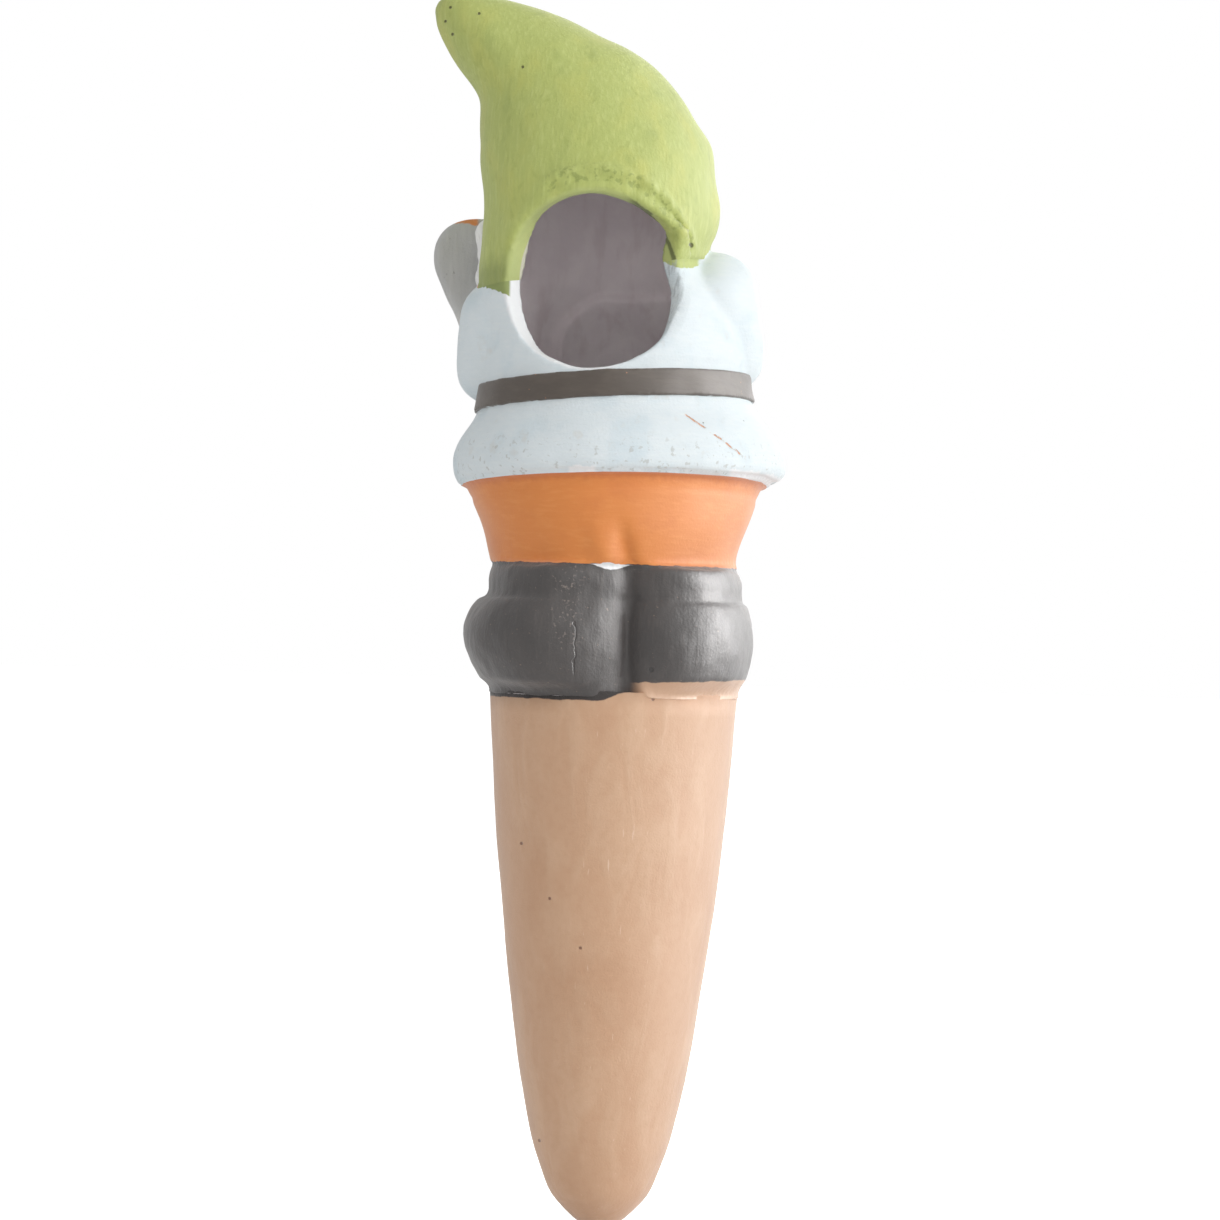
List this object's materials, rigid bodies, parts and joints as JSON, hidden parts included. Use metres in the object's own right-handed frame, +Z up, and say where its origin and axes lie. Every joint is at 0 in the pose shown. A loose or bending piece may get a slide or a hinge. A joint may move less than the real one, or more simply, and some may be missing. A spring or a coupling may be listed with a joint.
{
  "type": "self watering spike",
  "caption": "Hollow porous clay spike topped by a garden gnome figure, filled through an opening in its back to water a potted plant slowly.",
  "frame": {"origin": "on the axis of the spike at the soil line, where the bare cone ends and the boots begin", "axes": "+Z up along the spike; -Y is the front that the figure faces; +Y is the back, with the fill hole; +X is the figure's left"},
  "size_m": [0.0627, 0.056, 0.2115],
  "materials": {
    "bare_terracotta": "bare unglazed clay, matt",
    "boot_paint": "matt, brushed by hand over clay",
    "trousers_paint": "matt, brushed by hand over clay",
    "coat_paint": "matt, brushed by hand over clay",
    "belt_paint": "matt, brushed by hand over clay",
    "buckle_paint": "matt, brushed by hand over clay",
    "skin_paint": "matt, brushed by hand over clay",
    "eye_paint": "matt, brushed by hand over clay",
    "hat_paint": "matt, brushed by hand over clay",
    "blade_paint": "matt, brushed by hand over clay",
    "shaft_paint": "matt, brushed by hand over clay",
    "hair_paint": "matt, brushed by hand over clay"
  },
  "bodies": {
    "root": {"spike": "bare_terracotta", "left_boot": "boot_paint", "right_boot": "boot_paint", "left_boot_cuff": "boot_paint", "right_boot_cuff": "boot_paint", "trousers": "trousers_paint", "coat_skirt": "coat_paint", "belt": "belt_paint", "belt_buckle": "buckle_paint", "coat_torso": "coat_paint", "left_sleeve": "coat_paint", "right_sleeve": "coat_paint", "left_sleeve_cuff": "coat_paint", "right_sleeve_cuff": "coat_paint", "left_hand": "skin_paint", "right_hand": "skin_paint", "head": "skin_paint", "nose": "skin_paint", "left_eye": "eye_paint", "right_eye": "eye_paint", "left_eyebrow": "hair_paint", "right_eyebrow": "hair_paint", "moustache": "hair_paint", "beard": "hair_paint", "left_hair": "hair_paint", "right_hair": "hair_paint", "hat": "hat_paint", "spade_blade": "blade_paint", "spade_shaft": "shaft_paint", "spade_grip": "shaft_paint"}
  },
  "joints": []
}
